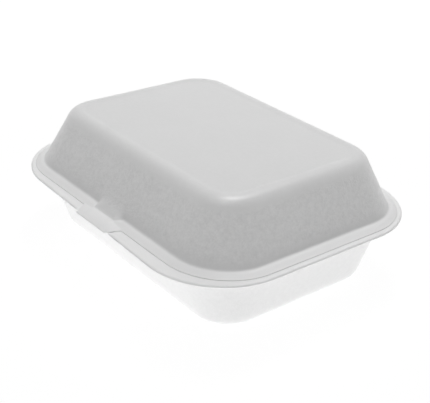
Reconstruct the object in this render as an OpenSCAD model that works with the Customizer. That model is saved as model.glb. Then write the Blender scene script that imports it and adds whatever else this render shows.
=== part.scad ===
// Hinged takeaway container, formed in one piece from white foam sheet and shown closed.
// The lid turns on the fold along the back rim. At the front its tongue lies over a dip in
// the tray's rim, and its pocket drops over the lock rib on the tray.
// X runs along the container, -Y is the front, +Z is up. The origin is on the surface that
// the tray stands on, under the middle of the walls.

/* [Mouth] */
// Length over the lid's walls where they meet the lid's rim
mouth_l = 185.3; // [172:0.1:240]
// Width over the lid's walls where they meet the lid's rim
mouth_w = 142.5; // [120:0.1:200]
// Corner radius of the lid's walls where they meet the lid's rim
mouth_r = 31; // [26:0.5:38]

/* [Sheet] */
// Thickness of the foam in the walls, the floor and the top
wall_t = 2.2; // [1.6:0.1:3]
// Thickness of the pressed foam in both rims
rim_t = 1.7; // [1.2:0.1:2.4]
// Radius where a wall turns into a rim
bend_r = 1.4; // [0.8:0.1:2]

/* [Tray] */
// Height of the tray from the floor's underside to the top of its rim
tray_h = 42.2; // [32:0.1:60]
// How far inside the lid's walls the tray's walls meet the rim
tray_inset = 1.3; // [0.8:0.1:2]
// How far each end wall of the tray leans in towards the floor
tray_lean_l = 10.7; // [6:0.1:16]
// How far the front and back walls of the tray lean in towards the floor
tray_lean_w = 14.3; // [8:0.1:18]
// Corner radius of the tray's walls at the floor
floor_r = 20; // [16:0.5:26]
// Radius between the floor and the walls
floor_edge_r = 9.7; // [7:0.1:13]

/* [Tray rim] */
// How far the tray's rim stands out beyond the lid's walls at each end
rim_out_side = 9.1; // [7.5:0.1:14]
// How far the tray's rim stands out beyond the lid's walls at the front
rim_out_front = 11.9; // [10.9:0.1:14]
// How far the fold at the back stands out beyond the lid's walls
rim_out_back = 10; // [8:0.1:14]
// Corner radius of the tray's rim
rim_r = 45; // [38:0.5:48]
// How far the front of the rim is trimmed askew at each end
trim_skew = 2.9; // [0:0.1:4]

/* [Lid] */
// Height of the lid above its rim
lid_h = 31.7; // [24:0.1:45]
// How far each end wall of the lid leans in towards the top
lid_lean_l = 14; // [8:0.1:18]
// How far the front and back walls of the lid lean in towards the top
lid_lean_w = 15.4; // [8:0.1:20]
// Corner radius of the lid's walls at the top
top_r = 21; // [16:0.5:26]
// Radius between the top and the walls
top_edge_r = 8.2; // [6:0.1:12]
// How far the lid's rim stands out beyond its walls
lip_out = 5.6; // [5.2:0.1:7]
// Corner radius that the lid's rim has beyond that of its walls
lip_r_more = 7; // [5:0.5:10]
// Width of the level border round the sunk panel in the top
panel_border = 0.8; // [0.4:0.1:3]
// Depth of the sunk panel
panel_sink = 0.5; // [0.3:0.1:1.2]
// Width of the slope round the sunk panel
panel_slope = 1.2; // [0.8:0.1:3]
// Space between the closed lid and the tray
lid_gap = 0.3; // [0.2:0.05:0.6]

/* [Latch] */
// How far the latch lies to the right of the middle
latch_x = 2; // [-8:0.5:8]
// Width of the tongue at its root
tongue_root_w = 34.6; // [31:0.2:42]
// Width of the tongue at its tip
tongue_tip_w = 28; // [20:0.2:30]
// How far the tongue's tip stands out beyond the lid's walls
tongue_out = 13.5; // [12.5:0.1:15]
// How far the tongue falls from the lid's rim to its tip
tongue_fall = 2; // [1.6:0.1:2.6]
// Thickness of the tongue at its tip
tongue_t = 1.4; // [1:0.1:1.8]
// Width of the pocket in the lid's front wall at its full depth
pocket_w = 18.4; // [16:0.2:22]
// How far the pocket's sides run out on each side
pocket_run = 3.2; // [2.6:0.1:5.4]
// Height of the pocket above the lid's rim
pocket_h = 5.8; // [4.4:0.1:8]
// How far the pocket stands out at the lid's rim
pocket_out = 4.3; // [4:0.1:4.6]
// Width of the lock rib on the tray
rib_w = 14; // [8:0.2:15]
// Height of the lock rib above the tray's rim
rib_h = 2.6; // [1:0.1:3]
// Space between the lock rib and the pocket
rib_gap = 0.6; // [0.4:0.1:1.2]
// Space beside the tongue in its dip
dip_side_gap = 0.5; // [0.3:0.1:1.5]

/* [Hinge] */
// Length of the fold at the back
hinge_l = 88; // [40:1:92]
// Radius of the rounded fold that the lid turns round
fold_r = 0.85; // [0.6:0.05:1]
// Space between the fold and the edge of the lid
fold_gap = 0.35; // [0.3:0.05:0.8]

/* [Hidden] */

// Facets in a quarter turn of a corner, of an outer edge and of an inner edge
corner_steps = 12;
edge_steps = 6;
inner_steps = 4;

// Half sizes of the mouth, and the levels of the two rims and of the fold's axis
mouth_a = mouth_l / 2;
mouth_b = mouth_w / 2;
lip_under = tray_h + lid_gap;
lip_top = lip_under + rim_t;
fold_z = tray_h + lid_gap / 2;

// How far the walls lean, as an angle from upright
lid_lean = atan2((lid_lean_l + lid_lean_w) / 2, lid_h);
tray_lean = atan2((tray_lean_l + tray_lean_w) / 2, tray_h);
lid_skin = wall_t / cos(lid_lean);
tray_skin = wall_t / cos(tray_lean);

// The rounded edges of the lid's rim, of the tray's rim and of the rim in the dip
lip_round = 0.5;
lip_under_round = 0.25;
rim_round = rim_t / 2;
dip_t = 1.4;
dip_round = dip_t / 2;

// Width of the level band inside the lid rim's rounded edge, how far the middle of a bend lies
// from its ends, and how far the middle of the lid rim's rounded edge lies from its sides
lip_band = 1;
bend_out = bend_r * 0.25;
lip_fall = lip_round * (1 - cos(45));

// The pocket's front face falls from the wall at pocket_h to pocket_out at the lid's rim
pocket_slope = (pocket_out + pocket_h * tan(lid_lean)) / pocket_h;
pocket_half = pocket_w / 2;
pocket_levels = [pocket_h, pocket_h * 0.66, pocket_h * 0.4];
pocket_foot = 0.3;
pocket_foot_inside = 0.1;

// The lock rib and the dip in the tray's rim follow the pocket and the tongue
tongue_start = 0.6;
dip_ledge = 0.25;
dip_back = 0.7;
rib_run = 2;
rib_half = rib_w / 2;
rib_top = tray_h + rib_h;
rib_foot_out = pocket_inner(tray_h) - rib_gap;
rib_top_out = pocket_inner(rib_top) - rib_gap;
tongue_half = tongue_root_w / 2;
tongue_run = 0.3;
tongue_squeeze = tongue_tip_w / tongue_root_w;
tongue_root_out = pocket_inner(lip_under) + tongue_start;
tip_z = lip_top - tongue_fall;
dip_start = rib_foot_out + dip_ledge;
dip_out = rim_out_front - dip_back;
dip_half = tongue_half + tongue_run + dip_side_gap;
dip_run = 1.2;
dip_z = tongue_under(dip_out - dip_round) - lid_gap;

// The fold's zone along the back rim
hinge_half = hinge_l / 2;
hinge_run = 3;
lip_back_out = rim_out_back - fold_r - fold_gap;

// Where the lines across the rims stand along the front and the back
lid_front_x = both_sides([tongue_half + tongue_run, tongue_half,
    for (k = [3:-1:0]) pocket_half + pocket_run * k / 3], latch_x);
tray_front_x = both_sides([dip_half + dip_run, dip_half, rib_half + rib_run,
    rib_half + rib_run / 2, rib_half], latch_x);
back_x = both_sides([hinge_half + hinge_run, hinge_half], 0);

function mix(p, q, k) = p + (q - p) * k;
function within(k) = min(1, max(0, k));
function smooth(k) = k * k * (3 - 2 * k);

// A list of distances, outermost first, on both sides of a middle
function both_sides(d, middle) =
    concat([for (i = [0:len(d) - 1]) middle - d[i]], [middle],
        [for (i = [len(d) - 1:-1:0]) middle + d[i]]);

// How much of a zone's own shape there is at x: all of it up to half, none beyond half + run
function zone(x, half, run) = smooth(within((half + run - abs(x)) / run));

// Outer and inner face of the pocket at height z, as a distance beyond the lid's walls
function pocket_outer(z) = pocket_out - pocket_slope * (z - lip_top);
function pocket_inner(z) = pocket_outer(z) - lid_skin;

// Height of the tongue's underside at a distance beyond the lid's walls
function tongue_under(out) =
    mix(lip_under, tip_z - tongue_t, (out - tongue_root_out) / (tongue_out - tongue_root_out));

// A quarter of a rounded corner
function corner(cx, cy, r, turn, z) =
    [for (i = [0:corner_steps]) let (t = turn + 90 * i / corner_steps)
        [cx + r * cos(t), cy + r * sin(t), z]];

// One line round the sheet: [half length, front, back, corner radius, skew], its height,
// and what it becomes at the latch [half, run, out, z, squeeze] and at the fold [out, z]
function loop(plan, z, latch = [], fold = []) = [plan, z, latch, fold];

function latch_point(x, y, z, s) =
    len(s) == 0 ? [x, y, z] :
    let (k = zone(x - latch_x, s[0], s[1]))
    [mix(x, latch_x + (x - latch_x) * s[4], k), mix(y, -mouth_b - s[2], k), mix(z, s[3], k)];

function fold_point(x, y, z, s) =
    len(s) == 0 ? [x, y, z] :
    let (k = zone(x, hinge_half, hinge_run))
    [x, mix(y, mouth_b + s[0], k), mix(z, s[1], k)];

function askew(p, a, front, skew) =
    p[1] < 0 ? [p[0], p[1] * (1 + skew / front * p[0] / a), p[2]] : p;

function loop_points(s, front_x) =
    let (a = s[0][0], f = s[0][1], b = s[0][2], r = s[0][3], z = s[1])
    let (points = concat(
        [for (x = front_x) latch_point(x, -f, z, s[2])],
        corner(a - r, r - f, r, 270, z),
        corner(a - r, b - r, r, 0, z),
        [for (x = back_x) fold_point(-x, b, z, s[3])],
        corner(r - a, b - r, r, 90, z),
        corner(r - a, r - f, r, 180, z)))
    [for (p = points) askew(p, a, f, s[0][4])];

// Plan of a line at a distance beyond the lid's walls, with its own corner radius
function plan_out(out, r) = [mouth_a + out, mouth_b + out, mouth_b + out, r, 0];

// A formed side from its wide end at h = 0 up to the flat at h = rise: [a, b, r, h] of each
// line on the rounded edge, for walls that lean from (a0, b0) to (a1, b1)
function edge_lines(a1, b1, r1, lean, rise, edge_r, steps) =
    let (t = edge_r * tan((90 - lean) / 2))
    [for (i = [0:steps]) let (q = mix(lean, 90, i / steps), d = edge_r * cos(q) - t)
        [a1 + d, b1 + d, r1 + d, rise - edge_r + edge_r * sin(q)]];

// The line at height h on the wall between its wide end and the start of its rounded edge
function wall_line(a0, b0, r0, edge, h) =
    let (k = h / edge[3])
    [mix(a0, edge[0], k), mix(b0, edge[1], k), mix(r0, edge[2], k), h];

function backwards(list) = [for (i = [len(list) - 1:-1:0]) list[i]];
function plan_of(line) = [line[0], line[1], line[1], line[2], 0];

// A closed sheet through its lines, from the flat on the outside to the flat on the inside
module formed_sheet(lines, front_x, flip) {
    n = len(loop_points(lines[0], front_x));
    m = len(lines);
    points = [for (s = lines) each loop_points(s, front_x)];
    sides = [for (j = [0:m - 2]) for (i = [0:n - 1]) let (k = (i + 1) % n)
        each [[j * n + i, j * n + k, (j + 1) * n + k], [j * n + i, (j + 1) * n + k, (j + 1) * n + i]]];
    start = len(front_x) + floor(corner_steps / 2);
    first = [for (i = [n:-1:1]) (start + i) % n];
    last = [for (i = [0:n - 1]) (m - 1) * n + (start + i) % n];
    faces = concat([first], sides, [last]);
    polyhedron(points, flip ? [for (f = faces) backwards(f)] : faces, convexity = 8);
}

// Lid, from the sunk panel down the outside, round the rim and up the inside

lid_edge = edge_lines(mouth_a - lid_lean_l, mouth_b - lid_lean_w, top_r, lid_lean, lid_h,
    top_edge_r, edge_steps);
lid_inner_edge = edge_lines(mouth_a - lid_lean_l - lid_skin + wall_t * tan(lid_lean),
    mouth_b - lid_lean_w - lid_skin + wall_t * tan(lid_lean), top_r - wall_t, lid_lean,
    lid_h - wall_t, top_edge_r - wall_t, inner_steps);
lid_top_line = lid_edge[edge_steps];

function lid_wall_loop(h) =
    loop(plan_of(wall_line(mouth_a, mouth_b, mouth_r, lid_edge[0], h)), lip_top + h,
        [pocket_half, pocket_run, pocket_outer(lip_top + h), lip_top + h, 1]);

function lid_inner_loop(h) =
    loop(plan_of(wall_line(mouth_a - lid_skin, mouth_b - lid_skin, mouth_r - wall_t,
        lid_inner_edge[0], h)), lip_top + h,
        [pocket_half, pocket_run, pocket_inner(lip_top + h), lip_top + h, 1]);

function panel_loop(inset, z) =
    loop([lid_top_line[0] - inset, lid_top_line[1] - inset, lid_top_line[1] - inset,
        lid_top_line[2] - inset, 0], z);

// A line on the lid's rim, which runs out to the tongue in front and to the fold behind
function lip_loop(out, z, drop) =
    loop(plan_out(out, mouth_r + lip_r_more * out / lip_out), z,
        [tongue_half, tongue_run, tongue_out + out - lip_out, tip_z - drop, tongue_squeeze],
        [lip_back_out + out - lip_out, z]);

function lip_flat_loop(out, z, latch_out) =
    loop(plan_out(out, mouth_r + lip_r_more * out / lip_out), z,
        [pocket_half, pocket_run, latch_out, z, 1]);

lid_lines = concat(
    [panel_loop(panel_border + panel_slope, lip_top + lid_h - panel_sink),
        panel_loop(panel_border, lip_top + lid_h)],
    [for (e = backwards(lid_edge)) loop(plan_of(e), lip_top + e[3])],
    [for (h = pocket_levels) lid_wall_loop(h)],
    [lid_wall_loop(bend_r),
        lip_flat_loop(bend_out * (1 - tan(lid_lean)), lip_top + bend_out,
            pocket_outer(lip_top + bend_out)),
        lip_flat_loop(bend_r, lip_top, pocket_out),
        lip_flat_loop(lip_out - lip_round - lip_band, lip_top, pocket_out + pocket_foot),
        lip_loop(lip_out - lip_round, lip_top, 0),
        lip_loop(lip_out - lip_fall, lip_top - lip_fall, lip_fall),
        lip_loop(lip_out, lip_top - lip_round, lip_round),
        lip_loop(lip_out, lip_under + lip_under_round, tongue_t - lip_under_round),
        lip_loop(lip_out - lip_under_round, lip_under, tongue_t),
        lip_flat_loop(lip_out - lip_round - lip_band, lip_under, tongue_root_out)],
    [lip_flat_loop(bend_r - lid_skin, lip_under, pocket_inner(lip_under) + pocket_foot_inside),
        lip_flat_loop(bend_out - lid_skin + rim_t * tan(lid_lean), lip_under + bend_out,
            pocket_inner(lip_under + bend_out)),
        lid_inner_loop(bend_r - rim_t)],
    [for (h = backwards(pocket_levels)) lid_inner_loop(h)],
    [for (e = lid_inner_edge) loop(plan_of(e), lip_top + e[3])]);

module lid() {
    color("white") formed_sheet(lid_lines, lid_front_x, false);
}

// Tray, from the floor's underside up the outside, round the rim and down the inside

tray_a = mouth_a - tray_inset;
tray_b = mouth_b - tray_inset;
tray_r = mouth_r - tray_inset;
tray_in = tray_inset + tray_skin;
tray_edge = edge_lines(tray_a - tray_lean_l, tray_b - tray_lean_w, floor_r, tray_lean, tray_h,
    floor_edge_r, edge_steps);
tray_inner_edge = edge_lines(tray_a - tray_lean_l - tray_skin + wall_t * tan(tray_lean),
    tray_b - tray_lean_w - tray_skin + wall_t * tan(tray_lean), floor_r - wall_t, tray_lean,
    tray_h - wall_t, floor_edge_r - wall_t, inner_steps);

// The tray's heights are counted downwards from the top of its rim
function tray_wall_loop(depth) =
    loop(plan_of(wall_line(tray_a, tray_b, tray_r, tray_edge[0], depth)), tray_h - depth);

function tray_inner_loop(depth, rib_out, rib_z) =
    loop(plan_of(wall_line(tray_a - tray_skin, tray_b - tray_skin, tray_r - wall_t,
        tray_inner_edge[0], depth)), tray_h - depth, [rib_half, rib_run, rib_out, rib_z, 1]);

// A line on the tray's rim, at a distance in from its edge
function rim_plan(inset) =
    [mouth_a + rim_out_side - inset, mouth_b + rim_out_front - inset,
        mouth_b + rim_out_back - inset, rim_r - inset, trim_skew];

function rim_edge_loop(turn, fold_turn) =
    loop(rim_plan(rim_round * (1 - cos(turn))), tray_h - rim_round + rim_round * sin(turn),
        [dip_half, dip_run, dip_out - dip_round * (1 - cos(turn)),
            dip_z - dip_round + dip_round * sin(turn), 1],
        [rim_out_back + fold_r * cos(fold_turn), fold_z + fold_r * sin(fold_turn)]);

function rim_flat_loop(z, dip_level) =
    loop(rim_plan(rim_round + lid_gap), z,
        [dip_half, dip_run, dip_out - dip_round - lid_gap, dip_level, 1],
        [lip_back_out, z]);

// A line near the tray's walls, with what it becomes at the lock rib
function rib_loop(out, z, rib_out, rib_z) =
    loop(plan_out(out, mix(tray_r, rim_r, within((out + tray_inset) / (rim_out_side + tray_inset)))),
        z, [rib_half, rib_run, rib_out, rib_z, 1]);

tray_lines = concat(
    [for (e = backwards(tray_edge)) loop(plan_of(e), tray_h - e[3])],
    [tray_wall_loop(rim_t + bend_r),
        rib_loop(bend_out - tray_inset, tray_h - rim_t - bend_out, bend_out - tray_inset,
            tray_h - rim_t - bend_out),
        rib_loop(bend_r - tray_inset, tray_h - rim_t, bend_r - tray_inset, tray_h - rim_t),
        rim_flat_loop(tray_h - rim_t, dip_z - dip_t),
        rim_edge_loop(-90, -90),
        rim_edge_loop(-45, -30),
        rim_edge_loop(0, 30),
        rim_edge_loop(45, 90),
        rim_edge_loop(90, 150),
        rim_flat_loop(tray_h, dip_z),
        rib_loop(dip_start, tray_h, dip_start, tray_h),
        rib_loop(rib_foot_out, tray_h, rib_foot_out, tray_h),
        rib_loop(rib_foot_out / 2, tray_h, rib_top_out, rib_top),
        rib_loop(0, tray_h, bend_r / 2 - tray_in, rib_top)],
    [rib_loop(bend_r - tray_in, tray_h, bend_out - tray_in, rib_top - bend_r),
        rib_loop(bend_out - tray_in, tray_h - bend_out, -tray_in, tray_h),
        tray_inner_loop(bend_r, -tray_in - bend_r * tan(tray_lean), tray_h - bend_r)],
    [for (e = tray_inner_edge) loop(plan_of(e), tray_h - e[3])]);

module tray() {
    color("white") formed_sheet(tray_lines, tray_front_x, true);
}

tray();
lid();
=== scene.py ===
"""Looks of a takeaway container formed in one piece from white foam sheet.

The tray and the lid are lofted again here, finer than their solids and slightly uneven, and
a thin web of foam joins them along the fold. Shapes are worked out in millimetres.
"""

import logging
import math
from dataclasses import dataclass, field
from enum import Enum
from typing import Any, Sequence, Union

import bpy
import numpy as np
from mathutils import Matrix, Vector


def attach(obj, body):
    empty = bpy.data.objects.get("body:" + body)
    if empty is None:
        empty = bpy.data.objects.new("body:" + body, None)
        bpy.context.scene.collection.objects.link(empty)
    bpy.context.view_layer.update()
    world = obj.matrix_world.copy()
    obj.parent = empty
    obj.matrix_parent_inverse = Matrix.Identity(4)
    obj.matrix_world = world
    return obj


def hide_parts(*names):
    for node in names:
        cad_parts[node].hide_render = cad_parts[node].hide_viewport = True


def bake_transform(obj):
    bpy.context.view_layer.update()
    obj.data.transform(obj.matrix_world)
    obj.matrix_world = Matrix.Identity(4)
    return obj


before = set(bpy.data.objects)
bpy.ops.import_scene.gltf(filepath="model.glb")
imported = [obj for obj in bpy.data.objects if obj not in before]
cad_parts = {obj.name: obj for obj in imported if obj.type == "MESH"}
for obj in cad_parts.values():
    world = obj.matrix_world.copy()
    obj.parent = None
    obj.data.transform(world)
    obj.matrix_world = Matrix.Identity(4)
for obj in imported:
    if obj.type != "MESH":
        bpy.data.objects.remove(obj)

log = logging.getLogger("takeaway_container")
MM = 0.001
NOISE_MEAN = 0.5
# The finish reads at each point how much it is pressed sheet, whose lighter colour is partly a
# painted glow, how much painted highlight it takes on trimmed edges and creases, and how much
# it is stretched sheet.
PRESSED = "pressed"
WORDS = (PRESSED, "cut", "stretched")


class Node(Enum):
    """The solids that the frame holds, by their names there."""

    TRAY = "tray"
    LID = "lid"


class Slot(Enum):
    """The material slots of the record."""

    FOAM = "white_foam"


def mix(p: Any, q: Any, k: Any) -> Any:
    """p at k = 0, q at k = 1, and in between a straight mixture."""
    return p + (q - p) * k


def smooth(k: Any) -> Any:
    """An ease from 0 to 1 as k goes from 0 to 1, level at both ends."""
    k = np.clip(k, 0.0, 1.0)
    return k * k * (3.0 - 2.0 * k)


def softer_max(p: float, q: float, radius: float) -> float:
    """The greater of p and q, rounded where they come closer than the radius."""
    near = max(radius - abs(p - q), 0.0)
    return max(p, q) + near * near / (4.0 * radius)


def quarter(k: float) -> tuple[float, float]:
    """1 - cos and 1 - sin of a share k of a quarter turn, for rounding a bend or an edge."""
    return 1.0 - math.cos(k * math.pi / 2), 1.0 - math.sin(k * math.pi / 2)


def in_scene(name: str, data: Any) -> bpy.types.Object:
    """Makes an object of the data and links it to the scene."""
    thing = bpy.data.objects.new(name, data)
    bpy.context.scene.collection.objects.link(thing)
    return thing


# Shader expressions


class Tone:
    """A socket that carries a number, with the sums that the finishes need."""

    def __init__(self, tree: bpy.types.NodeTree, socket: bpy.types.NodeSocket) -> None:
        """Wraps an output socket of the tree."""
        self.tree = tree
        self.socket = socket

    def _sum(self, operation: str, first: Any, second: Any) -> "Tone":
        """Adds a Math node.

        Args:
            operation: What it does.
            first: A Tone or a number.
            second: A Tone or a number.

        Returns:
            Its result.
        """
        node = self.tree.nodes.new("ShaderNodeMath")
        node.operation = operation
        for socket, value in zip(node.inputs, (first, second)):
            if isinstance(value, Tone):
                self.tree.links.new(value.socket, socket)
            else:
                socket.default_value = float(value)
        return Tone(self.tree, node.outputs[0])

    def __add__(self, other: Any) -> "Tone":
        """self + other."""
        return self._sum("ADD", self, other)

    def __radd__(self, other: Any) -> "Tone":
        """other + self."""
        return self._sum("ADD", other, self)

    def __sub__(self, other: Any) -> "Tone":
        """self - other."""
        return self._sum("SUBTRACT", self, other)

    def __rsub__(self, other: Any) -> "Tone":
        """other - self."""
        return self._sum("SUBTRACT", other, self)

    def __mul__(self, other: Any) -> "Tone":
        """self * other."""
        return self._sum("MULTIPLY", self, other)

    def __rmul__(self, other: Any) -> "Tone":
        """other * self."""
        return self._sum("MULTIPLY", other, self)


Sockets = dict[Union[str, int], Any]


class Tree:
    """Writes nodes into a tree."""

    def __init__(self, tree: bpy.types.NodeTree) -> None:
        """Starts on an emptied tree."""
        self.tree = tree
        self.tree.nodes.clear()

    def add(self, kind: str, settings: dict[str, Any] | None = None,
            inputs: Sockets | None = None) -> bpy.types.Node:
        """Adds a node.

        Args:
            kind: The node's type.
            settings: Its properties, which are set first.
            inputs: Values or links for its sockets, by name or number.

        Returns:
            The node.
        """
        node = self.tree.nodes.new(kind)
        for name, value in (settings or {}).items():
            setattr(node, name, value)
        for name, value in (inputs or {}).items():
            value = value.socket if isinstance(value, Tone) else value
            if isinstance(value, bpy.types.NodeSocket):
                self.tree.links.new(value, node.inputs[name])
            else:
                node.inputs[name].default_value = value
        return node

    def tone(self, kind: str, settings: dict[str, Any] | None = None,
             inputs: Sockets | None = None,
             output: Union[str, int] = 0) -> Tone:
        """Adds a node, as add does, and gives one of its outputs as a Tone."""
        return Tone(self.tree, self.add(kind, settings, inputs).outputs[output])

    def blend(self, share: Any, first: Any, second: Any) -> bpy.types.NodeSocket:
        """A mixture of two colours or links, all of the second where the share is 1."""
        return self.add("ShaderNodeMix", {"data_type": "RGBA", "clamp_factor": True},
                        {0: share, 6: first, 7: second}).outputs[2]

    def seen(self) -> Tone:
        """Adds what tells the camera's view, also in reflections, from light that lands.

        Returns:
            1 for a ray that is seen and 0 for one that only lights.
        """
        path = self.add("ShaderNodeLightPath")
        return (Tone(self.tree, path.outputs["Is Camera Ray"])
                + Tone(self.tree, path.outputs["Is Glossy Ray"])
                + Tone(self.tree, path.outputs["Is Transmission Ray"]))


# Finishes


@dataclass(frozen=True)
class FoamFinish:
    """Matt white expanded foam: flattened cells, cloudy mottling, and pressed rims painted
    lighter, partly for the denser foam and partly as a painted glow of light through the thin
    rims; trimmed edges carry a painted highlight.

    A depth mixes the colour with the shade, and the grain is how strongly the cells and the
    mottling show: as it is, more where the sheet was stretched, and less where it was pressed.
    The mottling and the clouds each have a size in millimetres, a detail and a roughness.
    """

    name: str = "WhiteFoam"
    colour: tuple[float, float, float] = (0.88, 0.88, 0.88)
    shade: tuple[float, float, float] = (0.76, 0.76, 0.76)
    # Pressed rims: partly the denser foam's colour, partly a painted glow of light shining
    # through the thin sheet.
    dense_and_glow: tuple[float, float, float] = (0.985, 0.985, 0.985)
    dense_and_glow_share: float = 0.85
    # Painted highlight: the colour laid on trimmed edges and along the crease, which also
    # lightens the shade in the crevice under the lid's edge.
    cut: tuple[float, float, float] = (0.99, 0.99, 0.99)
    cell_mm: float = 1.05
    mottle: tuple[float, float, float] = (2.6, 4.0, 0.62)
    cloud: tuple[float, float, float] = (26.0, 2.0, 0.5)
    grain: float = 0.3
    stretched_grain: float = 1.1
    pressed_loss: float = 0.72
    mean_depth: float = 0.22
    cell_mean: float = 0.4
    cell_depth: float = 0.35
    mottle_depth: float = 1.2
    cloud_depth: float = 0.28
    pressed_depth: float = 0.1
    roughness: float = 0.33
    roughness_spread: float = 0.12
    pressed_roughness: float = 0.5
    specular: float = 0.5
    bump_m: float = 0.00025
    bump_strength: float = 0.5
    cell_height: float = 0.55
    mottle_height: float = 0.9
    cloud_height: float = 0.6

    def material(self) -> bpy.types.Material:
        """Writes the finish.

        Returns:
            The material.
        """
        material = bpy.data.materials.new(self.name)
        material.use_nodes = True
        tree = Tree(material.node_tree)
        place = tree.add("ShaderNodeTexCoord").outputs["Object"]
        pressed, cut, stretched = (
            tree.tone("ShaderNodeAttribute", {"attribute_name": word}, output="Fac")
            for word in WORDS)
        open_foam = ((self.grain + stretched * self.stretched_grain)
                     * (1.0 - pressed * self.pressed_loss))
        cells = tree.tone("ShaderNodeTexVoronoi", {"feature": "F1"},
                          {"Vector": place, "Scale": 1.0 / (self.cell_mm * MM)}, "Distance")
        mottle, cloud = (
            tree.tone("ShaderNodeTexNoise", None,
                      {"Vector": place, "Scale": 1.0 / (size * MM), "Detail": detail,
                       "Roughness": rough}, "Fac")
            for size, detail, rough in (self.mottle, self.cloud))
        grain = ((mottle - NOISE_MEAN) * self.mottle_depth
                 + (cells - self.cell_mean) * self.cell_depth)
        depth = (self.mean_depth + grain * open_foam + (cloud - NOISE_MEAN) * self.cloud_depth
                 - pressed * self.pressed_depth)
        tint = tree.blend(depth, (*self.colour, 1.0), (*self.shade, 1.0))
        roughness = (self.roughness + (mottle - NOISE_MEAN) * self.roughness_spread
                     - pressed * (self.roughness - self.pressed_roughness))
        height = ((cells * self.cell_height + mottle * self.mottle_height) * open_foam
                  + cloud * self.cloud_height)
        bump = tree.add("ShaderNodeBump", None, {"Strength": self.bump_strength,
                                                 "Distance": self.bump_m, "Height": height})
        # The pressed rims are painted lighter, partly for the denser foam and partly as a
        # painted glow of light through them.
        rim = tree.blend(pressed * self.dense_and_glow_share, tint, (*self.dense_and_glow, 1.0))
        # Over all of it, trimmed edges and the crease are painted with the highlight colour.
        shader = tree.add("ShaderNodeBsdfPrincipled", None,
                          {"Base Color": tree.blend(cut, rim, (*self.cut, 1.0)),
                           "Roughness": roughness, "Specular IOR Level": self.specular,
                           "Normal": bump.outputs["Normal"]})
        tree.add("ShaderNodeOutputMaterial", None, {"Surface": shader.outputs["BSDF"]})
        return material


@dataclass(frozen=True)
class FloorFinish:
    """A white floor that the camera sees as white and that keeps a faint shadow."""

    name: str = "WhiteFloor"
    colour: tuple[float, float, float] = (0.9, 0.9, 0.9)
    seen_colour: tuple[float, float, float] = (0.07, 0.07, 0.07)
    white_near: float = 0.955
    near: float = 0.16
    far: float = 0.5
    glow: float = 0.6

    def material(self) -> bpy.types.Material:
        """Writes the finish.

        Returns:
            The material.
        """
        material = bpy.data.materials.new(self.name)
        material.use_nodes = True
        tree = Tree(material.node_tree)
        seen = tree.seen()
        place = tree.add("ShaderNodeTexCoord").outputs["Object"]
        distance = tree.tone("ShaderNodeVectorMath", {"operation": "LENGTH"}, {0: place},
                             "Value")
        white = tree.tone("ShaderNodeMapRange", {"interpolation_type": "SMOOTHSTEP"},
                          {"Value": distance, "From Min": self.near, "From Max": self.far,
                           "To Min": self.white_near, "To Max": 1.0})

        def coat(colour: tuple[float, float, float], strength: Any) -> bpy.types.Node:
            """A paint that also shines.

            Args:
                colour: The paint's colour.
                strength: How strongly it shines, as a number or a Tone.

            Returns:
                The node that adds both.
            """
            paint = tree.add("ShaderNodeBsdfDiffuse", None, {"Color": (*colour, 1.0)})
            shine = tree.add("ShaderNodeEmission", None, {"Strength": strength})
            return tree.add("ShaderNodeAddShader", None,
                            {0: paint.outputs[0], 1: shine.outputs[0]})

        blend = tree.add("ShaderNodeMixShader", None,
                         {0: seen, 1: coat(self.colour, self.glow).outputs[0],
                          2: coat(self.seen_colour, white).outputs[0]})
        tree.add("ShaderNodeOutputMaterial", None, {"Surface": blend.outputs[0]})
        return material


# Unevenness of the formed sheet


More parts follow.
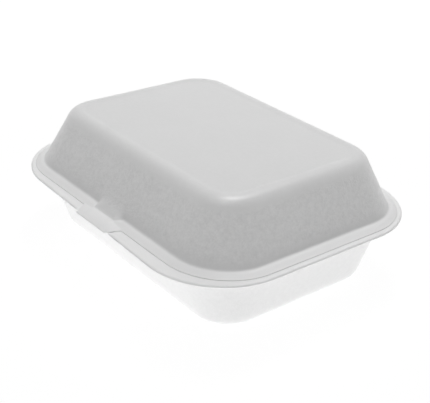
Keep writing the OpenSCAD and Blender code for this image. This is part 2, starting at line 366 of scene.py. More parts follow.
@dataclass(frozen=True)
class Unevenness:
    """Slow waves of the sheet, which move both its faces alike, so it keeps its thickness."""

    wave_mm: float = 0.16
    length_mm: float = 34.0
    ripple_mm: float = 0.05
    ripple_length_mm: float = 9.0

    def tree(self) -> bpy.types.NodeTree:
        """Writes the geometry tree, with its sizes as named inputs.

        Returns:
            The tree.
        """
        group = bpy.data.node_groups.new("SheetUnevenness", "GeometryNodeTree")
        face = group.interface
        face.new_socket("Geometry", in_out="INPUT", socket_type="NodeSocketGeometry")
        for name in ("Wave", "Wave Length", "Ripple", "Ripple Length"):
            face.new_socket(name, in_out="INPUT", socket_type="NodeSocketFloat")
        face.new_socket("Finish", in_out="INPUT", socket_type="NodeSocketMaterial")
        face.new_socket("Geometry", in_out="OUTPUT", socket_type="NodeSocketGeometry")
        tree = Tree(group)
        given = tree.add("NodeGroupInput").outputs
        place = tree.add("GeometryNodeInputPosition").outputs[0]

        def waves(size: str, length: str) -> bpy.types.NodeSocket:
            """A smooth vector field.

            Args:
                size: Name of the input that gives its size.
                length: Name of the input that gives its wave length.

            Returns:
                The field.
            """
            per_length = tree.add("ShaderNodeMath", {"operation": "DIVIDE"},
                                  {0: 1.0, 1: given[length]}).outputs[0]
            noise = tree.add("ShaderNodeTexNoise", None,
                             {"Vector": place, "Scale": per_length, "Detail": 1.0})
            middle = tree.add("ShaderNodeVectorMath", {"operation": "SUBTRACT"},
                              {0: noise.outputs["Color"], 1: (NOISE_MEAN,) * 3})
            return tree.add("ShaderNodeVectorMath", {"operation": "SCALE"},
                            {0: middle.outputs[0], "Scale": given[size]}).outputs[0]

        offset = tree.add("ShaderNodeVectorMath", {"operation": "ADD"},
                          {0: waves("Wave", "Wave Length"),
                           1: waves("Ripple", "Ripple Length")}).outputs[0]
        moved = tree.add("GeometryNodeSetPosition", None,
                         {"Geometry": given["Geometry"], "Offset": offset})
        real = tree.add("GeometryNodeRealizeInstances", None, {0: moved.outputs[0]})
        dressed = tree.add("GeometryNodeSetMaterial", None,
                           {"Geometry": real.outputs[0], "Material": given["Finish"]})
        tree.add("NodeGroupOutput", None, {0: dressed.outputs[0]})
        return group

    def apply(self, piece: bpy.types.Object, finish: bpy.types.Material) -> None:
        """Bakes the waves into the piece's mesh.

        Args:
            piece: The piece, still without a parent.
            finish: Its material.
        """
        group = self.tree()
        modifier = piece.modifiers.new("Unevenness", "NODES")
        modifier.node_group = group
        values = {"Wave": self.wave_mm * MM, "Wave Length": self.length_mm * MM,
                  "Ripple": self.ripple_mm * MM,
                  "Ripple Length": self.ripple_length_mm * MM, "Finish": finish}
        for item in group.interface.items_tree:
            if item.in_out == "INPUT" and item.name in values:
                modifier[item.identifier] = values[item.name]
        graph = bpy.context.evaluated_depsgraph_get()
        baked = bpy.data.meshes.new_from_object(piece.evaluated_get(graph))
        piece.modifiers.remove(modifier)
        rough = piece.data
        piece.data = baked
        baked.name = piece.name
        bpy.data.meshes.remove(rough)


# The loft


@dataclass(frozen=True)
class Plan:
    """A rounded rectangle seen from above, trimmed askew along its front."""

    half_l: float
    front: float
    back: float
    corner: float
    skew: float = 0.0

    @staticmethod
    def even(half_l: float, half_w: float, corner: float) -> "Plan":
        """A plan whose front and back are alike."""
        return Plan(half_l, half_w, half_w, corner)


@dataclass(frozen=True)
class Zone:
    """What a line turns into within a stretch: how far out and how high it lies there."""

    half: float
    run: float
    out: float
    level: float
    squeeze: float = 1.0

    def share(self, x: np.ndarray) -> np.ndarray:
        """How much of the zone's own shape there is at each x from its middle."""
        return smooth((self.half + self.run - np.abs(x)) / self.run)


@dataclass(frozen=True)
class Line:
    """One line round the sheet, with its share of each of the finish's three words.

    A shrink under 1 draws it in towards the middle, for the rings of a flat.
    """

    plan: Plan
    z: float
    latch: Zone | None = None
    fold: Zone | None = None
    pressed: float = 0.0
    # How much painted highlight the line takes.
    cut: float = 0.0
    stretched: float = 0.0
    shrink: float = 1.0


@dataclass(frozen=True)
class Columns:
    """Where the lines across the sheet stand, as distances from the latch or the middle."""

    latch_x: float
    latch: tuple[float, ...] = (0, 2, 4, 6, 7, 7.6, 8.3, 9.2, 9.8, 10.4, 11, 11.6, 12.2, 12.8,
                                13.4, 14.5, 15.6, 16.6, 17, 17.3, 17.6, 17.9, 18.2, 18.5,
                                18.8, 19.3, 20, 21.5, 23, 25)
    fold: tuple[float, ...] = (*range(0, 45, 5), 42.5, 44, 44.5, 45, 45.5, 46, 46.5, 47,
                               48, 50)
    fill: int = 8
    corner: int = 26
    side: int = 16

    def across(self, near: tuple[float, ...], middle: float, limit: float) -> np.ndarray:
        """Places along the front or the back, from -limit to limit without the ends.

        Args:
            near: Distances on both sides of the middle.
            middle: Where they are counted from.
            limit: Where the corners start.

        Returns:
            The places, in rising order.
        """
        close = [middle - d for d in reversed(near)] + [middle + d for d in near[1:]]
        share = np.arange(1, self.fill + 1) / (self.fill + 1)
        return np.concatenate([mix(-limit, close[0], share), close,
                               mix(close[-1], limit, share)])

    def ring(self, line: Line, mouth_b: float) -> np.ndarray:
        """The points of a line, counted against the clock from the front's left end.

        Args:
            line: The line.
            mouth_b: Half the width over the lid's walls, which distances out count from.

        Returns:
            An array of points.
        """
        plan = line.plan
        a, f, b, r = plan.half_l, plan.front, plan.back, plan.corner
        front = self.across(self.latch, self.latch_x, a - r)
        back = self.across(self.fold, 0.0, a - r)[::-1]
        rise = np.arange(1, self.side) / self.side
        up = mix(r - f, b - r, rise)

        def arc(cx: float, cy: float, turn: float) -> tuple[np.ndarray, np.ndarray]:
            """A rounded corner about (cx, cy), which starts at the turn."""
            t = np.radians(turn + 90.0 * np.arange(self.corner + 1) / self.corner)
            return cx + r * np.cos(t), cy + r * np.sin(t)

        runs = [(front, np.full(len(front), -f)), arc(a - r, r - f, 270),
                (np.full(len(up), a), up), arc(a - r, b - r, 0),
                (back, np.full(len(back), b)), arc(r - a, b - r, 90),
                (np.full(len(up), -a), up[::-1]), arc(r - a, r - f, 180)]
        x, y = (np.concatenate(part) for part in zip(*runs))
        z = np.full(len(x), line.z)
        places = np.arange(len(x))
        if line.latch:
            here = places < len(front)
            off = x - self.latch_x
            k = np.where(here, line.latch.share(off), 0.0)
            x = mix(x, self.latch_x + off * line.latch.squeeze, k)
            y = mix(y, -mouth_b - line.latch.out, k)
            z = mix(z, line.latch.level, k)
        if line.fold:
            first = sum(len(run[0]) for run in runs[:4])
            here = (places >= first) & (places < first + len(back))
            k = np.where(here, line.fold.share(x), 0.0)
            y = mix(y, mouth_b + line.fold.out, k)
            z = mix(z, line.fold.level, k)
        y = np.where(y < 0, y * (1.0 + plan.skew / f * x / a), y)
        return np.stack([x * line.shrink, y * line.shrink, z], axis=1)


@dataclass
class Mouth:
    """The sizes that the tray and the lid share, in millimetres."""

    half_l: float = 92.65
    half_w: float = 71.25
    corner: float = 31.0
    wall: float = 2.2
    rim: float = 1.7
    bend: float = 1.4
    tray_h: float = 42.2
    gap: float = 0.3
    latch_x: float = 2.0
    shown_gap: float = 0.05
    back_out: float = 10.0
    fold_r: float = 0.85
    fold_gap: float = 0.35
    fold_half: float = 44.0
    fold_run: float = 3.0

    @property
    def lip_under(self) -> float:
        """Height of the lid's rim's underside."""
        return self.tray_h + self.gap

    @property
    def lip_foot(self) -> float:
        """Height that the lid's rim is drawn down to, so that it looks shut."""
        return self.tray_h + self.shown_gap

    @property
    def lip_top(self) -> float:
        """Height of the lid's rim's top."""
        return self.lip_under + self.rim

    @property
    def fold_y(self) -> float:
        """How far back the fold's axis lies."""
        return self.half_w + self.back_out

    @property
    def fold_z(self) -> float:
        """Height of the fold's axis."""
        return self.tray_h + self.gap / 2

    @property
    def lip_back(self) -> float:
        """How far out the lid's rim reaches at the fold."""
        return self.back_out - self.fold_r - self.fold_gap


@dataclass
class Pocket:
    """The pocket that bulges from the lid's front wall over the lock rib.

    Its half and run turn into the top's over its height, and lines up to reach times that
    height follow it.
    """

    half: float = 9.2
    run: float = 3.2
    top_half: float = 2.0
    top_run: float = 12.0
    height: float = 5.8
    out: float = 4.3
    blend: float = 2.4
    reach: float = 2.0

    def outer(self, mouth: Mouth, lean: float, z: float) -> float:
        """How far out its front face lies at height z, beyond the lid's walls."""
        slope = (self.out + self.height * math.tan(lean)) / self.height
        return self.out - slope * (z - mouth.lip_top)


def smooth_piece(name: str, points: np.ndarray, faces: list[list[int]],
                 shares: dict[str, np.ndarray]) -> bpy.types.Object:
    """Makes a piece with smooth faces.

    Args:
        name: Its name.
        points: Its points, in millimetres.
        faces: Its faces, each as the numbers of its points.
        shares: What the finish reads at each point, by word.

    Returns:
        The piece.
    """
    mesh = bpy.data.meshes.new(name)
    mesh.from_pydata((points * MM).tolist(), [], faces)
    mesh.shade_smooth()
    for word, values in shares.items():
        mesh.attributes.new(word, "FLOAT", "POINT").data.foreach_set(
            "value", values.astype(np.float32))
    return in_scene(name, mesh)


# Half length, half width, corner radius and rise of each line of a rounded edge.
Edge = list[tuple[float, float, float, float]]
# How far the rings of a flat are drawn in, from its edge to near its middle.
SHRINKS = (0.985, 0.93, 0.84, 0.72, 0.58, 0.42, 0.26, 0.1)
# Shares of the turn at which lines stand on a bend and on the lid's rim's rounded edges.
BEND_STEPS = (0.3, 0.6, 0.85)
ROUND_STEPS = (0.0, 0.3, 0.6, 0.8, 1.0)
UNDER_STEPS = (0.0, 0.5, 1.0)


@dataclass
class FormedSheet:
    """A shell lofted through lines that run round it, from one flat to the other."""

    mouth: Mouth
    finish: bpy.types.Material
    unevenness: Unevenness = field(default_factory=Unevenness)
    edge_steps: int = 12

    def edges(self, a: float, b: float, r: float, lean: float, rise: float,
              radius: float) -> tuple[Edge, Edge]:
        """The rounded edges between wall and flat, of the outside and of the inside.

        Args:
            a: Half the length where the outside's wall and flat would meet.
            b: Half the width there.
            r: Corner radius there.
            lean: The wall's lean, in radians.
            rise: How far the outside's flat is from the wall's wide end.
            radius: Radius of the outside's edge.

        Returns:
            The two edges, with their lines from the wall to the flat.
        """
        thick = self.mouth.wall
        shift = thick * math.tan(lean) - thick / math.cos(lean)
        turns = [mix(lean, math.pi / 2, i / self.edge_steps)
                 for i in range(self.edge_steps + 1)]

        def edge(a: float, b: float, r: float, rise: float, radius: float) -> Edge:
            """One of the two, from its own sizes."""
            back = radius * math.tan((math.pi / 2 - lean) / 2)
            steps = [(radius * math.cos(q) - back, rise - radius + radius * math.sin(q))
                     for q in turns]
            return [(a + d, b + d, r + d, h) for d, h in steps]

        return (edge(a, b, r, rise, radius),
                edge(a + shift, b + shift, r - thick, rise - thick, radius - thick))

    @staticmethod
    def rounded(edge: Edge, base: float, way: float) -> list[Line]:
        """The lines of a rounded edge, with its rises up (1) or down (-1) from the base."""
        return [Line(Plan.even(a, b, r), base + way * h) for a, b, r, h in edge]

    @staticmethod
    def on_wall(a: float, b: float, r: float, edge: Edge, h: float) -> Plan:
        """The plan of a wall at height h between its wide end and its rounded edge."""
        end_a, end_b, end_r, rise = edge[0]
        return Plan.even(mix(a, end_a, h / rise), mix(b, end_b, h / rise),
                         mix(r, end_r, h / rise))

    def out(self, out: float, r: float) -> Plan:
        """The plan at a distance beyond the lid's walls."""
        return Plan.even(self.mouth.half_l + out, self.mouth.half_w + out, r)

    @staticmethod
    def flat(plan: Plan, z: float) -> list[Line]:
        """The lines of a flat, from its edge to near its middle."""
        return [Line(plan, z, shrink=k) for k in SHRINKS]

    def loft(self, name: str, lines: Sequence[Line]) -> bpy.types.Object:
        """Makes the closed mesh through the lines.

        Args:
            name: The piece's name.
            lines: The lines, from the middle of the outer flat to that of the inner one.

        Returns:
            The piece, uneven and dressed, without a parent.
        """
        columns = Columns(self.mouth.latch_x)
        rings = [columns.ring(line, self.mouth.half_w) for line in lines]
        n, m = len(rings[0]), len(rings)
        ends = [np.array([[0.0, 0.0, ring[0][2]]]) for ring in (rings[0], rings[-1])]
        points = np.concatenate(rings + ends)
        here = np.arange(n)
        following = (here + 1) % n
        faces: list[list[int]] = []
        for j in range(m - 1):
            low, high = j * n, (j + 1) * n
            faces += np.stack([low + here, low + following, high + following, high + here],
                              axis=1).tolist()
        faces += [[m * n, int(q), int(p)] for p, q in zip(here, following)]
        last = (m - 1) * n
        faces += [[m * n + 1, int(last + p), int(last + q)] for p, q in zip(here, following)]
        if rings[0][0][2] > rings[-1][0][2]:  # so the flat on the outside faces up
            faces = [f[::-1] for f in faces]
        shares = {word: np.concatenate([np.full(n, getattr(line, word)) for line in lines]
                                       + [np.zeros(2)]) for word in WORDS}
        piece = smooth_piece(name, points, faces, shares)
        self.unevenness.apply(piece, self.finish)
        return piece

    def settle(self, piece: bpy.types.Object, node: Node) -> None:
        """Makes the piece stand for a solid and move with it.

        Args:
            piece: The piece.
            node: The solid that it stands for.
        """
        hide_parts(node.value)
        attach(piece, node.value)
        log.info("%s: %d faces, stands for %s",
                 piece.name, len(piece.data.polygons), node.value)


@dataclass(frozen=True)
class RimStep:
    """A line on the lid's rim between the bend and the crease.

    Its share of the way and of the rim's fall, how far out of the pocket and how low it lies
    there, and how much painted highlight it takes near the crease.
    """

    share: float
    down: float
    foot: float
    fall: float
    cut: float


@dataclass
class Lid(FormedSheet):
    """The lid, with its sunk panel, its pocket and its tongue."""

    height: float = 31.7
    lean_l: float = 14.0
    lean_w: float = 15.4
    top_r: float = 21.0
    edge_r: float = 8.2
    coarse_lines: int = 9
    fine_lines: int = 14
    fine_rise: float = 1.6
    stretch_from: float = 1.5
    stretch_run: float = 4.0
    lip_out: float = 5.6
    lip_r_more: float = 7.0
    sink: float = 0.28
    border: float = 0.8
    slope: float = 3.0
    slope_shares: tuple[float, ...] = (1.4, 1.15, 1.0, 0.8, 0.6, 0.4, 0.2, 0.0)
    bend: float = 1.3
    thin: float = 1.62
    crease_in: float = 0.8
    round_top: float = 0.24
    round_under: float = 0.06
    root_out: float = 0.6
    root_in: float = 0.1
    tongue_half: float = 17.3
    tongue_run: float = 1.2
    tongue_tip_half: float = 14.0
    tongue_out: float = 13.5
    tongue_fall: float = 2.0
    tongue_t: float = 0.9
    tongue_round: float = 2.0
    rim_steps: tuple[RimStep, ...] = (
        RimStep(0.0, 0.0, 0.1, 0.0, 0.0), RimStep(0.5, 0.42, 0.25, 0.05, 0.0),
        RimStep(0.88, 0.76, 0.4, 0.1, 0.2), RimStep(1.0, 0.84, 0.7, 0.12, 1.0))
    pocket: Pocket = field(default_factory=Pocket)

    def rim_plan(self, out: float) -> Plan:
        """The rim's plan at a distance beyond the walls."""
        return self.out(out, self.mouth.corner + self.lip_r_more * out / self.lip_out)

    def lip(self, out: float, z: float, drop: float, cut: float) -> Line:
        """A line on the rim's edge, which runs out to the tongue and to the fold.

        Args:
            out: How far beyond the walls it lies.
            z: Its height.
            drop: How far it lies below the tongue's top at the tongue.
            cut: How much painted highlight it takes on the rim's trimmed edge.

        Returns:
            The line.
        """
        m, more = self.mouth, out - self.lip_out
        tip = m.lip_top - self.tongue_fall
        return Line(self.rim_plan(out), z,
                    Zone(self.tongue_half + more, self.tongue_run, self.tongue_out + more,
                         tip - drop, self.tongue_tip_half / self.tongue_half),
                    Zone(m.fold_half, m.fold_run, m.lip_back + more, z), 1.0, cut)

    def ledge(self, out: float, z: float, latch_out: float, latch_z: float,
              cut: float = 0.0, pressed: float = 1.0) -> Line:
        """A line on the rim's flat, with how far out and how high it lies at the pocket."""
        latch = Zone(self.pocket.half, self.pocket.run, latch_out, latch_z)
        return Line(self.rim_plan(out), z, latch, None, pressed, cut)

    def build(self) -> bpy.types.Object:
        """Lofts the lid.

        Returns:
            The piece.
        """
        m, p = self.mouth, self.pocket
        lean = math.atan2((self.lean_l + self.lean_w) / 2, self.height)
        skin = m.wall / math.cos(lean)
        outer, inner = self.edges(m.half_l - self.lean_l, m.half_w - self.lean_w, self.top_r,
                                  lean, self.height, self.edge_r)

        def wall(h: float, thick: float) -> Line:
            """A line on the walls.

            Args:
                h: Its height over the rim.
                thick: How far in from the outside it lies, which is 0 or the skin.

            Returns:
                The line.
            """
            z = m.lip_top + h
            bulge = softer_max(p.outer(m, lean, z), -h * math.tan(lean), p.blend) - thick
            plan = self.on_wall(m.half_l - thick, m.half_w - thick,
                                m.corner - (m.wall if thick else 0.0),
                                inner if thick else outer, h)
            rise = min(1.0, h / p.height)
            zone = Zone(mix(p.half, p.top_half, rise), mix(p.run, p.top_run, rise), bulge, z)
            return Line(plan, z, zone if h < p.height * p.reach else None,
                        stretched=float(smooth((h - self.stretch_from) / self.stretch_run)))

        def bent(out: float, z: float, thick: float, k: float) -> Line:
            """A line on the bend between the walls and the rim, more pressed as k rises."""
            return self.ledge(out - thick, z, p.outer(m, lean, z) - thick, z,
                              pressed=float(smooth(k)))

        fine = p.height * self.fine_rise
        heights = np.concatenate([np.linspace(outer[0][3], fine, self.coarse_lines)[1:],
                                  np.linspace(fine, self.bend, self.fine_lines)[1:]])
        a, b, r = outer[-1][:3]
        top = m.lip_top + self.height
        panel = []
        for share in self.slope_shares:
            inset = self.border + self.slope * share
            plan = Plan.even(a - inset, b - inset, r - inset)
            panel.append(Line(plan, top - self.sink * float(smooth(share))))
        lines = self.flat(panel[0].plan, top - self.sink)[::-1] + panel
        lines += self.rounded(outer[::-1], m.lip_top, 1.0)
        lines += [wall(float(h), 0.0) for h in heights]
        for k in BEND_STEPS:
            c, s = quarter(k)
            lines.append(bent(mix(-self.bend * math.tan(lean), self.bend, c),
                              m.lip_top + self.bend * s, 0.0, k))
        crease = self.lip_out - self.crease_in
        for step in self.rim_steps:
            lines.append(self.ledge(mix(self.bend, crease, step.share),
                                    m.lip_top - self.thin * step.down, p.out + step.foot,
                                    m.lip_top - step.fall, step.cut))
        # The rim's rounded edge takes more painted highlight as it turns down, all of it on
        # the outer face, and less again under it.
        for k in ROUND_STEPS:
            c, s = (self.round_top * t for t in quarter(k))
            lines.append(self.lip(self.lip_out - s, m.lip_top - self.thin - c,
                                  self.tongue_round * c, k))
        for k in UNDER_STEPS:
            c, s = (self.round_under * t for t in quarter(k))
            lines.append(self.lip(self.lip_out - c, m.lip_foot + s, self.tongue_t - s,
                                  1.0 - k))
        root = p.outer(m, lean, m.lip_under) - skin
        lines += [self.ledge(out, m.lip_foot, root + more, m.lip_foot)
                  for out, more in ((crease, self.root_out), (m.bend - skin, self.root_in))]
        inner_end = (m.rim - m.bend) * math.tan(lean)
        for k in reversed(BEND_STEPS):
            c, s = quarter(k)
            lines.append(bent(mix(inner_end, m.bend, c), m.lip_under + m.bend * s, skin, k))
        lines += [wall(float(h), skin) for h in (m.bend - m.rim, *reversed(heights))]
        lines += self.rounded(inner, m.lip_top, 1.0)
        lines += self.flat(lines[-1].plan, top - m.wall)
        return self.loft("LidShell", lines)


@dataclass
class Tray(FormedSheet):
    """The tray, with its rim, the dip under the tongue, the lock rib and the fold."""

    inset: float = 1.3
    lean_l: float = 10.7
    lean_w: float = 14.3
    floor_r: float = 20.0
    edge_r: float = 9.7
    wall_lines: int = 18
    pressed_depth: float = 4.0
    stretch_share: float = 0.3
    stretch_from: float = 2.0
    stretch_run: float = 4.0
    out_side: float = 9.1
    out_front: float = 11.9
    rim_r: float = 45.0
    skew: float = 2.9
    flat_in: float = 3.0
    edge_lines: int = 13
    edge_turn: float = 15.0
    fold_turn: float = 20.0
    rib_half: float = 7.0
    rib_run: float = 2.0
    rib_h: float = 2.6
    rib_gap: float = 0.6
    rib_foot: float = 0.25
    rib_steps: tuple[tuple[float, float], ...] = ((1.0, 0.0), (0.75, 0.5), (0.5, 1.0))
    dip_in: float = 0.7
    dip_side_gap: float = 0.12
    dip_gap: float = 0.2
    dip_t: float = 1.4
    lid: Lid | None = None

    def build(self) -> bpy.types.Object:
        """Lofts the tray.

        Returns:
            The piece.
        """
        m, lid = self.mouth, self.lid
        lean = math.atan2((self.lean_l + self.lean_w) / 2, m.tray_h)
        skin = m.wall / math.cos(lean)
        a, b, r = m.half_l - self.inset, m.half_w - self.inset, m.corner - self.inset
        outer, inner = self.edges(a - self.lean_l, b - self.lean_w, self.floor_r, lean,
                                  m.tray_h, self.edge_r)
        lid_lean = math.atan2((lid.lean_l + lid.lean_w) / 2, lid.height)
        lid_skin = m.wall / math.cos(lid_lean)

        def under_pocket(z: float) -> float:
            """The pocket's inner face at height z, less the space beside the rib."""
            return lid.pocket.outer(m, lid_lean, z) - lid_skin - self.rib_gap

        root = under_pocket(m.lip_under) + self.rib_gap + lid.root_out
        tip = m.lip_top - lid.tongue_fall - lid.tongue_t
        dip_out = self.out_front - self.dip_in
        dip_round, rim_round = self.dip_t / 2, m.rim / 2
        dip_share = (dip_out - dip_round - root) / (lid.tongue_out - root)
        dip_z = mix(m.lip_under, tip, dip_share) - self.dip_gap
        dip_half = lid.tongue_half + self.dip_side_gap

        def dip(out: float, level: float) -> Zone:
            """The dip, which narrows as the tongue does.

            Args:
                out: How far beyond the lid's walls it lies.
                level: Its height.

            Returns:
                The dip's shape there.
            """
            k = (out - lid.lip_out) / (lid.tongue_out - lid.lip_out)
            half = mix(lid.tongue_half, lid.tongue_tip_half, k) + self.dip_side_gap
            return Zone(dip_half, lid.tongue_run, out, level, half / dip_half)

        def wall(depth: float, thick: float) -> Line:
            """A line on the walls.

            Args:
                depth: How far under the rim it lies.
                thick: How far in from the outside it lies, which is 0 or the skin.

            Returns:
                The line.
            """
            plan = self.on_wall(a - thick, b - thick, r - (m.wall if thick else 0.0),
                                inner if thick else outer, depth)
            stretched = float(smooth((depth - self.stretch_from) / self.stretch_run))
            return Line(plan, m.tray_h - depth,
                        pressed=float(smooth(1.0 - depth / self.pressed_depth)),
                        stretched=self.stretch_share * stretched)

        def near(out: float, z: float, rib_out: float, rib_z: float) -> Line:
            """A line near the walls, with how far out and how high it lies at the rib."""
            k = min(1.0, max(0.0, (out + self.inset) / (self.out_side + self.inset)))
            return Line(self.out(out, mix(r, self.rim_r, k)), z,
                        Zone(self.rib_half, self.rib_run, rib_out, rib_z), None, 1.0)

        def rim(inset: float) -> Plan:
            """The rim's plan at a distance in from its edge."""
            return Plan(m.half_l + self.out_side - inset, m.half_w + self.out_front - inset,
                        m.half_w + m.back_out - inset, self.rim_r - inset, self.skew)

        def level(z: float, dip_level: float, inset: float) -> Line:
            """A line on the rim's flat, with its height at the dip and how far in it lies."""
            back = m.lip_back - max(0.0, inset - rim_round - m.gap)
            return Line(rim(inset), z, dip(dip_out - inset, dip_level),
                        Zone(m.fold_half, m.fold_run, back, z), 1.0)

        def around(turn: float, fold_turn: float) -> Line:
            """A line on the rim's rounded trimmed edge, which becomes the fold at the back; it
            takes more painted highlight where the edge faces straight out.

            Args:
                turn: Where it lies on the edge, in degrees above straight out.
                fold_turn: Where it lies on the fold's bead.

            Returns:
                The line.
            """
            c, s = math.cos(math.radians(turn)), math.sin(math.radians(turn))
            fc, fs = math.cos(math.radians(fold_turn)), math.sin(math.radians(fold_turn))
            return Line(rim(rim_round * (1 - c)), m.tray_h - rim_round + rim_round * s,
                        dip(dip_out - dip_round * (1 - c), dip_z - dip_round + dip_round * s),
                        Zone(m.fold_half, m.fold_run, m.back_out + m.fold_r * fc,
                             m.fold_z + m.fold_r * fs), 1.0, c)

        lines = self.flat(Plan.even(*outer[-1][:3]), 0.0)[::-1]
        lines += self.rounded(outer[::-1], m.tray_h, -1.0)
        depths = np.linspace(outer[0][3], m.rim + m.bend, self.wall_lines)[1:]
        lines += [wall(float(d), 0.0) for d in depths]
        for k in (*BEND_STEPS, 1.0):
            c, s = quarter(k)
            out = mix(-self.inset - m.bend * math.tan(lean) / 2, m.bend - self.inset, c)
            z = m.tray_h - m.rim - m.bend * s
            lines.append(near(out, z, out, z))
        under, dip_under = m.tray_h - m.rim, dip_z - self.dip_t
        lines += [level(under, dip_under, rim_round + m.gap + self.flat_in),
                  level(under, dip_under, rim_round + m.gap)]
        lines += [around(self.edge_turn * i - 90.0, self.fold_turn * i - 90.0)
                  for i in range(self.edge_lines)]
        lines.append(level(m.tray_h, dip_z, rim_round + m.gap))
        foot, crown = under_pocket(m.tray_h), under_pocket(m.tray_h + self.rib_h)
        top = m.tray_h + self.rib_h
        behind = -self.inset - skin
        lines.append(near(foot + self.rib_foot, m.tray_h, foot + self.rib_foot, m.tray_h))
        lines += [near(foot * share, m.tray_h, mix(foot, crown, k), mix(m.tray_h, top, k))
                  for share, k in self.rib_steps]
        lines.append(near(0.0, m.tray_h, behind + m.bend / 2, top))
        for k in (0.0, *BEND_STEPS):
            c, s = quarter(k)
            lines.append(near(behind + m.bend * s, m.tray_h - m.bend * c,
                              behind + (m.bend / 4) * (1 - k), mix(top, m.tray_h, k) - m.bend))
        lines += [wall(float(d), skin) for d in reversed(depths)]
        lines += self.rounded(inner, m.tray_h, -1.0)
        lines += self.flat(lines[-1].plan, m.wall)
        return self.loft("TrayShell", lines)


@dataclass
class FoldWeb:
    """The thin web of foam that lies over the fold and joins the lid to the tray."""

    mouth: Mouth
    finish: bpy.types.Material
    thickness: float = 0.36
    radius: float = 1.0
    start_turn: float = 20.0
    reach: float = 1.5
    spare: float = 0.6
    bend_from: float = 0.1
    bend_to: float = 1.15
    steps_round: int = 8
    steps_flat: int = 12
    steps_across: int = 60

    def path(self) -> list[tuple[float, float]]:
        """Finds the web's middle line from the tray's fold to the lid.

        Returns:
            Its points, about the fold's axis.
        """
        n = self.steps_round
        arc = [math.radians(mix(self.start_turn, 90.0, i / n)) for i in range(n + 1)]
        points = [(self.radius * math.cos(t), self.radius * math.sin(t)) for t in arc]
        return points + [(-self.reach * i / self.steps_flat, self.radius)
                         for i in range(1, self.steps_flat + 1)]

    def build(self) -> bpy.types.Object:
        """Makes the web along the fold, between the tray and the lid.

        Returns:
            The piece.
        """
        m = self.mouth
        path = np.array(self.path())
        along = np.gradient(path, axis=0)
        along /= np.linalg.norm(along, axis=1)[:, None]
        normal = np.stack([along[:, 1], -along[:, 0]], axis=1)
        half = self.thickness / 2
        section = np.concatenate([path + normal * half, (path - normal * half)[::-1]])
        section += np.array([m.fold_y, m.fold_z])
        width = m.fold_half - self.spare
        stations = np.linspace(-width, width, self.steps_across + 1)
        n = len(section)
        points = np.array([(x, y, z) for x in stations for y, z in section])
        faces = [[j * n + i, j * n + (i + 1) % n, (j + 1) * n + (i + 1) % n, (j + 1) * n + i]
                 for j in range(self.steps_across) for i in range(n)]
        for j, flip in ((0, True), (self.steps_across, False)):
            for i in range(n // 2 - 1):
                quad = [j * n + i, j * n + i + 1, j * n + n - 2 - i, j * n + n - 1 - i]
                faces.append(quad[::-1] if flip else quad)
        shares = {word: np.full(len(points), float(word == PRESSED)) for word in WORDS}
        piece = smooth_piece("FoldWeb", points, faces, shares)
        piece.data.materials.append(self.finish)
        z = (m.fold_z + self.radius) * MM
        (m.fold_y - self.bend_from) * MM
        (m.fold_y - self.bend_to) * MM
        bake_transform(piece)
        log.info("FoldWeb: %d faces, bends from the tray to the lid", len(faces))
        return piece


# The studio


@dataclass(frozen=True)
class Lamp:
    """A flat lamp with its place and its sides in metres and its power in watts."""

    name: str
    place: tuple[float, float, float]
    size: tuple[float, float]
    power: float
    shape: str = "RECTANGLE"

    def hang(self, aim: Vector) -> None:
        """Hangs the lamp, out of the camera's sight.

        Args:
            aim: The point that it faces.
        """
        data = bpy.data.lights.new(self.name, "AREA")
        data.shape = self.shape
        data.size, data.size_y = self.size
        data.energy = self.power
        lamp = in_scene(self.name, data)
        facing = (aim - Vector(self.place)).to_track_quat("-Z", "Y")
        lamp.matrix_world = Matrix.Translation(self.place) @ facing.to_matrix().to_4x4()
        lamp.visible_camera = False


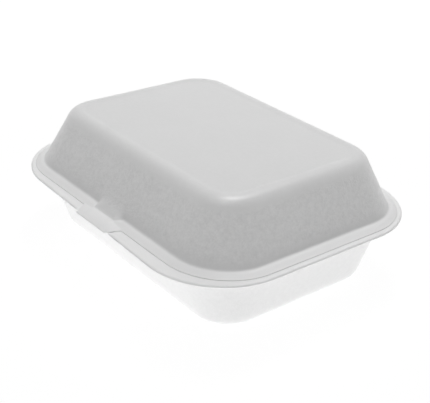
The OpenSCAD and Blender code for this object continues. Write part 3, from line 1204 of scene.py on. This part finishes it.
@dataclass
class Studio:
    """Camera, lamps, world and floor."""

    aim: tuple[float, float, float] = (0.00635, -0.00129, 0.0323)
    azimuth: float = 50.01
    elevation: float = 27.18
    distance: float = 0.5559
    roll: float = 2.97
    lens: float = 79.03
    sensor: float = 36.0
    sight: tuple[float, float] = (0.01, 20.0)
    lamps: tuple[Lamp, ...] = (
        Lamp("OverheadLamp", (-0.01, 0.02, 0.95), (0.4, 1.5), 4.5),
        Lamp("StripLamp", (-0.16, 0.22, 0.92), (0.08, 0.4), 1.7),
        Lamp("LightTable", (0.0, 0.0, 0.0008), (0.3, 0.26), 0.05, "ELLIPSE"))
    lamp_aim: tuple[float, float, float] = (0.0, 0.0, 0.04)
    fill: float = 0.1
    floor_reach: float = 1.6
    floor_steps: int = 48
    floor_z: float = -0.0002

    def camera(self) -> bpy.types.Object:
        """Sets the camera where the photograph was taken from.

        Returns:
            The camera.
        """
        az, el, roll = (math.radians(t) for t in (self.azimuth, self.elevation, self.roll))
        back = Vector((math.sin(az) * math.cos(el), -math.cos(az) * math.cos(el),
                       math.sin(el)))
        level = Vector((math.cos(az), math.sin(az), 0.0))
        upright = back.cross(level)
        right = level * math.cos(roll) + upright * math.sin(roll)
        up = upright * math.cos(roll) - level * math.sin(roll)
        data = bpy.data.cameras.new("Camera")
        data.lens = self.lens
        data.sensor_width = self.sensor
        data.clip_start, data.clip_end = self.sight
        camera = in_scene("Camera", data)
        place = Vector(self.aim) + back * self.distance
        camera.matrix_world = Matrix((
            (right.x, up.x, back.x, place.x), (right.y, up.y, back.y, place.y),
            (right.z, up.z, back.z, place.z), (0.0, 0.0, 0.0, 1.0)))
        bpy.context.scene.camera = camera
        return camera

    def world(self) -> None:
        """Makes the surroundings white to the eye and in reflections, and dim as a light."""
        world = bpy.data.worlds.new("Surroundings")
        bpy.context.scene.world = world
        world.use_nodes = True
        tree = Tree(world.node_tree)
        seen = tree.seen()
        dim, white = (tree.add("ShaderNodeBackground", None,
                               {"Color": (1.0, 1.0, 1.0, 1.0), "Strength": strength})
                      for strength in (self.fill, 1.0))
        both = tree.add("ShaderNodeMixShader", None,
                        {0: seen, 1: dim.outputs[0], 2: white.outputs[0]})
        tree.add("ShaderNodeOutputWorld", None, {"Surface": both.outputs[0]})

    def floor(self, finish: bpy.types.Material) -> None:
        """Lays a round floor a hair under the tray.

        Args:
            finish: Its material.
        """
        steps = self.floor_steps
        rim = [(self.floor_reach * math.cos(t), self.floor_reach * math.sin(t), self.floor_z)
               for t in (2 * math.pi * i / steps for i in range(steps))]
        mesh = bpy.data.meshes.new("StudioFloor")
        mesh.from_pydata(rim, [], [list(range(steps))])
        mesh.materials.append(finish)
        in_scene("StudioFloor", mesh)

    def light(self) -> None:
        """Hangs the lamps."""
        for lamp in self.lamps:
            lamp.hang(Vector(self.lamp_aim))


def main() -> None:
    """Builds the studio and the container, and reports each piece."""
    logging.basicConfig(level=logging.INFO, format="%(name)s: %(message)s")
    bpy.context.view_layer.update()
    bpy.context.scene.view_settings.view_transform = "Standard"
    studio = Studio()
    studio.camera()
    studio.world()
    studio.floor(FloorFinish().material())
    studio.light()
    foam = FoamFinish().material()
    mouth = Mouth()
    lid = Lid(mouth, foam)
    lid.settle(lid.build(), Node.LID)
    tray = Tray(mouth, foam, lid=lid)
    tray.settle(tray.build(), Node.TRAY)
    FoldWeb(mouth, foam).build()


if __name__ == "__main__":
    main()
